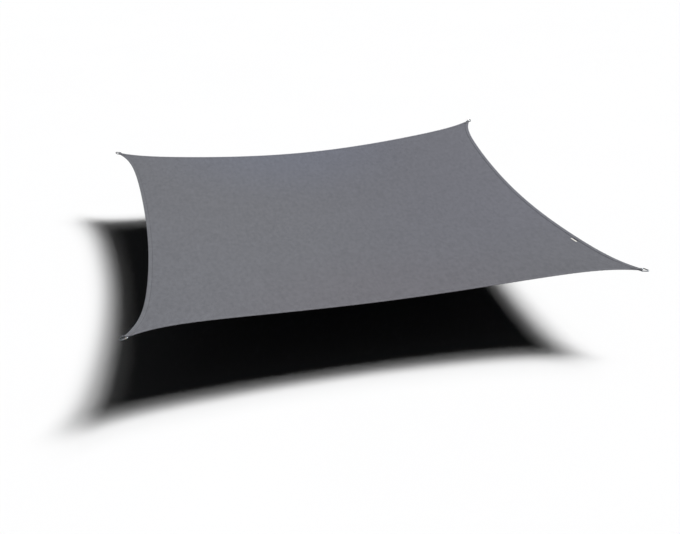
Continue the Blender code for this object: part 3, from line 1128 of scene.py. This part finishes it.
wires, given = new_group(
    "uneven tone",
    {"Patch size": 0.3, "Patch amount": 0.05, "Streak size": 0.02, "Streak amount": 0.05},
    ["Tone"],
)
drawn_out = wires.times(given["Place"], DRAWN_OUT)
tone = 1.0
for kind, place, detail in (("Patch", given["Place"], 3.0), ("Streak", drawn_out, 2.0)):
    scale = wires.math("DIVIDE", 1.0, given[f"{kind} size"])
    centred = wires.math("SUBTRACT", wires.noise(place, scale, detail), 0.5)
    tone = wires.math("MULTIPLY_ADD", centred, given[f"{kind} amount"], tone)
close_group(wires, {"Tone": tone})


def uneven_tone(wires, place, patches, streaks):
    """The group placed in a material. Patches and streaks are pairs of size and amount."""
    inputs = {"Place": place, "Patch size": patches[0], "Patch amount": patches[1]}
    inputs.update({"Streak size": streaks[0], "Streak amount": streaks[1]})
    return wires.group("uneven tone", inputs)["Tone"]


# %% [markdown]
# ## Knit
#
# Shade cloth is knitted from flat plastic yarn. Chains of loops, the wales, run along the roll
# 3.6 mm apart. Between them flat tapes zigzag from wale to wale and leave small gaps. A printed
# picture of it would blur from near and shimmer from afar. Arithmetic on the place gives sharp
# loops at any distance: the place is divided by the size of one loop, and what is left after
# the whole loops is the place inside a loop.

# %% Node group: shade knit
WALE_WOBBLE, COURSE_WOBBLE = 0.35, 0.5  # how far loops stray, in their own size
CHAIN_EDGE, CHAIN_TOP = 0.24, 0.13  # distances from the middle of a wale, in wales
LOOP_SLANT = 1.6
TAPE_EDGE, TAPE_TOP = 0.36, 0.20  # distances from the middle of a tape, in wales
TAPE_UP_HEIGHT, TAPE_DOWN_HEIGHT = 0.55, 0.40  # against 1 for the chain

wires, given = new_group("shade knit", {"Wale": 0.0036, "Course": 0.0031}, ["Height", "Yarn"])
place = wires.node("SeparateXYZ", {0: given["Place"]})
wobble = wires.noise(given["Place"], scale=45.0, detail=1.0)
x = wires.math("DIVIDE", place["X"], given["Wale"])
x = wires.math("MULTIPLY_ADD", wobble, WALE_WOBBLE, x)
y = wires.math("DIVIDE", place["Y"], given["Course"])
y = wires.math("MULTIPLY_ADD", wobble, COURSE_WOBBLE, y)
from_wale = wires.math("ABSOLUTE", wires.math("SUBTRACT", wires.math("FRACT", x), 0.5))
chain = wires.smooth(from_wale, CHAIN_EDGE, CHAIN_TOP)
slanted = wires.math("FRACT", wires.math("MULTIPLY_ADD", from_wale, LOOP_SLANT, y))
loop = wires.math("SINE", wires.math("MULTIPLY", slanted, math.pi))
height = wires.math("MULTIPLY", chain, wires.math("MULTIPLY_ADD", loop, 0.5, 0.5))
yarn = chain
between = wires.math("FRACT", wires.math("ADD", x, 0.5))
zigzag = wires.math("PINGPONG", wires.math("MULTIPLY", y, 0.5), 0.5)
zigzag = wires.math("MULTIPLY", zigzag, 2.0)
mirrored = wires.math("SUBTRACT", 1.0, zigzag)
for middle, tape_height in ((zigzag, TAPE_UP_HEIGHT), (mirrored, TAPE_DOWN_HEIGHT)):
    from_tape = wires.math("ABSOLUTE", wires.math("SUBTRACT", between, middle))
    tape = wires.smooth(from_tape, TAPE_EDGE, TAPE_TOP)
    height = wires.math("MAXIMUM", height, wires.math("MULTIPLY", tape, tape_height))
    yarn = wires.math("MAXIMUM", yarn, tape)
close_group(wires, {"Height": height, "Yarn": yarn})

# %% [markdown]
# ## Ribbed weave
#
# Webbing and tape are woven narrow. Fine ribs run along them and the yarns of each rib lean one
# way and then the other, like a row of arrow heads. The group is fed with the lay attribute, so
# the ribs turn with the strap wherever it goes.

# %% Node group: ribbed weave
YARN_LEAN = 2.2  # picks that a yarn leans forwards over one rib
YARN_FLATNESS = 0.6
GROOVE_TOP, YARN_EDGE = 0.1, 0.65  # heights between which a groove becomes yarn

wires, given = new_group("ribbed weave", {"Rib": 0.003, "Pick": 0.0013}, ["Height", "Yarn"])
place = wires.node("SeparateXYZ", {0: given["Place"]})
across = wires.math("DIVIDE", place["Y"], given["Rib"])
along = wires.math("DIVIDE", place["X"], given["Pick"])
lean = wires.math("PINGPONG", across, 1.0)
pick = wires.math("FRACT", wires.math("MULTIPLY_ADD", lean, YARN_LEAN, along))
yarn_round = wires.math("SINE", wires.math("MULTIPLY", pick, math.pi))
yarn_round = wires.math("POWER", yarn_round, YARN_FLATNESS)
rib_round = wires.math("ABSOLUTE", wires.math("SINE", wires.math("MULTIPLY", across, math.pi)))
rib_round = wires.math("MULTIPLY_ADD", rib_round, 0.5, 0.5)
height = wires.math("MULTIPLY", yarn_round, rib_round)
yarn = wires.smooth(height, GROOVE_TOP, YARN_EDGE)
close_group(wires, {"Height": height, "Yarn": yarn})

# %% [markdown]
# ## The sail's finish
#
# The yarn is a cool mid grey, and the gaps between the yarns are darker, because the eye looks
# past them into the shade below. The knit also gives the bump. In the hem the knit lies in two
# layers and its gaps close. The hem is also painted lighter, a painted highlight that is
# strongest on the right edge, where light falls on the rolled edge, and faintest on the left.
# The groove of the seam is painted darker, as painted shade, deepest on the right edge, where
# its steep side faces away from the light. The tone is uneven twice, in wide soft patches and in
# a fine mottle, twice as long as wide, where the knit is tighter or looser. The colour is also
# tinted a little in wide round spots: bluer at the middle of the back edge, warmer at the middle
# of the front edge, duller at the front right corner, and cooler over the whole right side. Flat
# plastic yarn shines a little when it is seen along the cloth, which the sheen does.

# %% Material: knitted cloth
CLOTH_YARN = (0.1388, 0.1413, 0.1556, 1.0)
CLOTH_GAP = (0.063, 0.065, 0.074, 1.0)
# painted shade: the groove of the seam is darkened towards this colour, most on the right edge
SEAM_PAINTED_SHADE = (0.04, 0.04, 0.05, 1.0)
HEM_PAINTED_LIGHT_GAIN = 0.06  # painted light: the hem is made this much lighter, times its edge's share
WHITE = (1.0, 1.0, 1.0, 1.0)
# tints that the colour gets by place, in wide round spots
TINT_SPOTS = (
    # middle of the spot, radius where it starts, radius where it is full, colour
    ((-0.2, 1.9, 0.0), 1.6, 0.35, (1.0, 1.03, 1.12, 1.0)),
    ((0.0, -1.9, 0.0), 1.6, 0.35, (1.0, 0.963, 0.966, 1.0)),
    ((1.9, -1.9, 0.0), 1.7, 0.40, (0.955, 0.955, 0.930, 1.0)),
    ((3.0, 0.3, 0.0), 3.9, 1.50, (1.015, 1.009, 1.062, 1.0)),
)
MOTTLE_STRETCH = (1.0, 0.5, 1.0)  # twice as long as wide

cloth, wires, shader = new_material("knitted shade cloth")
place = wires.node("TexCoord")["Object"]
# the hem's painted light, and the groove depth that sets the seam's painted shade
painted_hem_light, groove_shade_mask = (
    wires.node("Attribute", attribute_name=name)["Fac"] for name in ("painted_hem_light", "seam")
)
knit = wires.group("shade knit", {"Place": place})
patches = uneven_tone(wires, place, patches=(0.35, 0.07), streaks=(0.03, 0.05))
longer = wires.times(place, MOTTLE_STRETCH)
mottle = uneven_tone(wires, longer, patches=(0.028, 0.50), streaks=(0.012, 0.04))
tone = wires.math("MULTIPLY", patches, mottle)
# painted light: the hem is made lighter by its edge's share, and its gaps close as much
tone = wires.math("MULTIPLY", tone, wires.math("MULTIPLY_ADD", painted_hem_light, HEM_PAINTED_LIGHT_GAIN, 1.0))
grey = wires.colour(wires.math("MAXIMUM", knit["Yarn"], painted_hem_light), CLOTH_GAP, CLOTH_YARN)
# painted shade: the groove is darkened as far as it is pressed in
grey = wires.times(grey, wires.colour(groove_shade_mask, WHITE, SEAM_PAINTED_SHADE))
for spot, outer, inner, colour in TINT_SPOTS:
    away = wires.node("VectorMath", {0: place, 1: spot}, operation="DISTANCE")["Value"]
    grey = wires.times(grey, wires.colour(wires.smooth(away, outer, inner), WHITE, colour))
finish = {
    "Base Color": wires.toned(grey, tone),
    "Roughness": wires.smooth(knit["Height"], 0.0, 1.0, to_low=0.85, to_high=0.62),
    "Normal": wires.bump(knit["Height"], strength=0.6, distance=0.0004),
    "Specular IOR Level": 0.25,
    "Sheen Weight": 0.12,
    "Sheen Roughness": 0.45,
    "Sheen Tint": (0.80, 0.88, 1.0, 1.0),
}
wires.feed(shader, finish)

# %% [markdown]
# ## Thread
#
# The thread is a shade darker than the cloth and slightly glossy. It is twisted from three
# yarns, and the twist shows as slanting grooves along every stitch. Thread, webbing and tape
# are all spun and woven, so one function makes what they share.

# %% Material: thread
THREAD_GROOVE = (0.060, 0.061, 0.068, 1.0)
THREAD_YARN = (0.120, 0.122, 0.134, 1.0)


def woven_material(name, rib, pick, bump, roughness):
    """A ribbed material that has no colour yet. bump is strength and distance, and roughness is
    that of the grooves and of the yarns."""
    material, wires, shader = new_material(name)
    place = wires.node("Attribute", attribute_name="lay")["Vector"]
    weave = wires.group("ribbed weave", {"Place": place, "Rib": rib, "Pick": pick})
    rough = wires.smooth(weave["Height"], 0.0, 1.0, *roughness)
    wires.feed(shader, {"Normal": wires.bump(weave["Height"], *bump), "Roughness": rough})
    return material, wires, shader, place, weave["Yarn"]


thread, wires, shader, _, yarn = woven_material(
    "twisted thread", rib=0.05, pick=0.0009, bump=(0.5, 0.0002), roughness=(0.6, 0.42)
)
grey = wires.colour(yarn, THREAD_GROOVE, THREAD_YARN)
wires.feed(shader, {"Base Color": grey, "Specular IOR Level": 0.4})

# %% [markdown]
# ## Webbing
#
# Polyester webbing in a grey close to the cloth's, a little smoother. The yarns stand out light
# from darker grooves.

# %% Material: webbing
WEBBING_GROOVE = (0.055, 0.056, 0.064, 1.0)
WEBBING_YARN = (0.150, 0.152, 0.168, 1.0)

webbing, wires, shader, place, yarn = woven_material(
    "grey webbing",
    rib=STRAP_WIDTH / STRAP_RIBS,
    pick=0.0014,
    bump=(0.7, 0.0003),
    roughness=(0.8, 0.55),
)
grey = wires.colour(yarn, WEBBING_GROOVE, WEBBING_YARN)
tone = uneven_tone(wires, place, patches=(0.02, 0.18), streaks=(0.003, 0.18))
finish = {"Specular IOR Level": 0.35, "Sheen Weight": 0.15, "Sheen Roughness": 0.4}
wires.feed(shader, {"Base Color": wires.toned(grey, tone), **finish})

# %% [markdown]
# ## Tag tape
#
# The tape is finer. The half at the seam is near black and the free half is off white, and the
# border between them is one line of the weave. The lay attribute says how far across the tape a
# point lies, so the colour can change there.

# %% Material: two-tone tape
TAG_BORDER = 0.014  # from the sewn side to the line where the colour changes
BORDER_BLUR = 0.0002
DARK_GROOVE, DARK_YARN = (0.006, 0.006, 0.008, 1.0), (0.018, 0.018, 0.022, 1.0)
PALE_GROOVE, PALE_YARN = (0.60, 0.58, 0.55, 1.0), (0.86, 0.84, 0.80, 1.0)

tape, wires, shader, place, yarn = woven_material(
    "two-tone woven tape", rib=0.0011, pick=0.0006, bump=(0.5, 0.00015), roughness=(0.75, 0.5)
)
across = wires.node("SeparateXYZ", {0: place})["Y"]
pale_half = wires.smooth(across, TAG_BORDER - BORDER_BLUR, TAG_BORDER + BORDER_BLUR)
dark = wires.colour(yarn, DARK_GROOVE, DARK_YARN)
pale = wires.colour(yarn, PALE_GROOVE, PALE_YARN)
tone = uneven_tone(wires, place, patches=(0.02, 0.10), streaks=(0.002, 0.10))
wires.feed(shader, {"Base Color": wires.toned(wires.colour(pale_half, dark, pale), tone)})

# %% [markdown]
# ## Steel
#
# The rings are polished stainless steel. Handling leaves hair-fine scratches along the wire and
# duller smudges here and there, and the weld is matt and slightly straw-coloured from the heat.

# %% Material: polished steel
STEEL, HEATED_STEEL = (0.25, 0.27, 0.29, 1.0), (0.22, 0.19, 0.15, 1.0)
WELD_MARK, WELD_BEAD = 0.0080, 0.0014  # its colour starts and is full this far from the weld
SCRATCH_STRETCH = (0.15, 1.0, 1.0)  # longer along the wire
SCRATCH_ROUGHNESS, WELD_ROUGHNESS = 0.10, 0.25  # added to that of the polish

steel, wires, shader = new_material("polished steel")
place = wires.node("Attribute", attribute_name="lay")["Vector"]
scratches = wires.noise(wires.times(place, SCRATCH_STRETCH), scale=2600.0, detail=4.0)
smudges = wires.noise(place, scale=160.0, detail=2.0)
polish = wires.smooth(smudges, 0.35, 0.75, to_low=0.10, to_high=0.22)
from_weld = wires.math("ABSOLUTE", wires.node("SeparateXYZ", {0: place})["X"])
weld = wires.smooth(from_weld, WELD_MARK, WELD_BEAD)
rough = wires.math("MULTIPLY_ADD", scratches, SCRATCH_ROUGHNESS, polish)
finish = {
    "Base Color": wires.colour(weld, STEEL, HEATED_STEEL),
    "Roughness": wires.math("MULTIPLY_ADD", weld, WELD_ROUGHNESS, rough),
    "Normal": wires.bump(scratches, strength=0.15, distance=0.0001),
    "Metallic": 1.0,
}
wires.feed(shader, finish)

# %% [markdown]
# ## Dress the pieces
#
# Each piece gets its finish, rides on the one body that the sail has, and stands for its solid.
# The cloth is a cut of 3.63 by 3.63 m with hollow edges, 11.2 square metres with the 33 mm
# that is folded under all round, pulled flat by its corners.


def dress(piece, finish, slot, *nodes):
    """Give a piece its finish, let it ride on the sail's body and stand for solids."""
    piece.data.materials.clear()
    piece.data.materials.append(finish)
    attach(piece, "root")
    if nodes:
        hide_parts(*nodes)


dress(sail, cloth, "sail_cloth", "sail_cloth")
dress(tag, tape, "tag_tape", "hem_label")
dress(tag_stitching, thread, "tag_tape")
for piece in hem_stitching:
    dress(piece, thread, "sail_cloth")
for corner in CORNERS:
    dress(rings[corner], steel, "ring_steel", f"corner_ring_{corner}")
    dress(straps[corner], webbing, "webbing", f"webbing_loop_{corner}")
    dress(strap_stitching[corner], thread, "webbing")

# %% [markdown]
# ## Floor
#
# The sail floats over a plain white floor, which only has to catch the shadow. It is matt and
# large enough to fill the view, and it isn't part of the sail.

# %% Floor
FLOOR_HEIGHT = -0.5907
FLOOR_HALF = 60.0
FLOOR_TONES = ((0.861, 0.861, 0.863, 1.0), (0.871, 0.871, 0.873, 1.0))
FLOOR_CORNERS = ((-1, -1), (1, -1), (1, 1), (-1, 1))

floor_mesh = bpy.data.meshes.new("floor")
floor_points = [(FLOOR_HALF * x, FLOOR_HALF * y, FLOOR_HEIGHT) for x, y in FLOOR_CORNERS]
floor_mesh.from_pydata(floor_points, [], [(0, 1, 2, 3)])
floor = add_object("floor", floor_mesh)
floor_paint, wires, shader = new_material("white floor")
fleck = wires.noise(wires.node("TexCoord")["Object"], scale=0.8, detail=2.0)
white = wires.colour(fleck, *FLOOR_TONES)
wires.feed(shader, {"Base Color": white, "Roughness": 1.0, "Specular IOR Level": 0.0})
floor_mesh.materials.append(floor_paint)
floor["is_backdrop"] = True
print("floor at", FLOOR_HEIGHT, "m")

# %% [markdown]
# ## Sizes, and the end
#
# The dressed sail has to be as large as its solids. Both boxes are written down.

# %% Write the sizes and finish
VISUAL_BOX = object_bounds()
for axis, *numbers in zip("XYZ", *CAD_BOX, *VISUAL_BOX):
    print(axis, "solids and dressed, in mm:", [round(1000 * number, 1) for number in numbers])
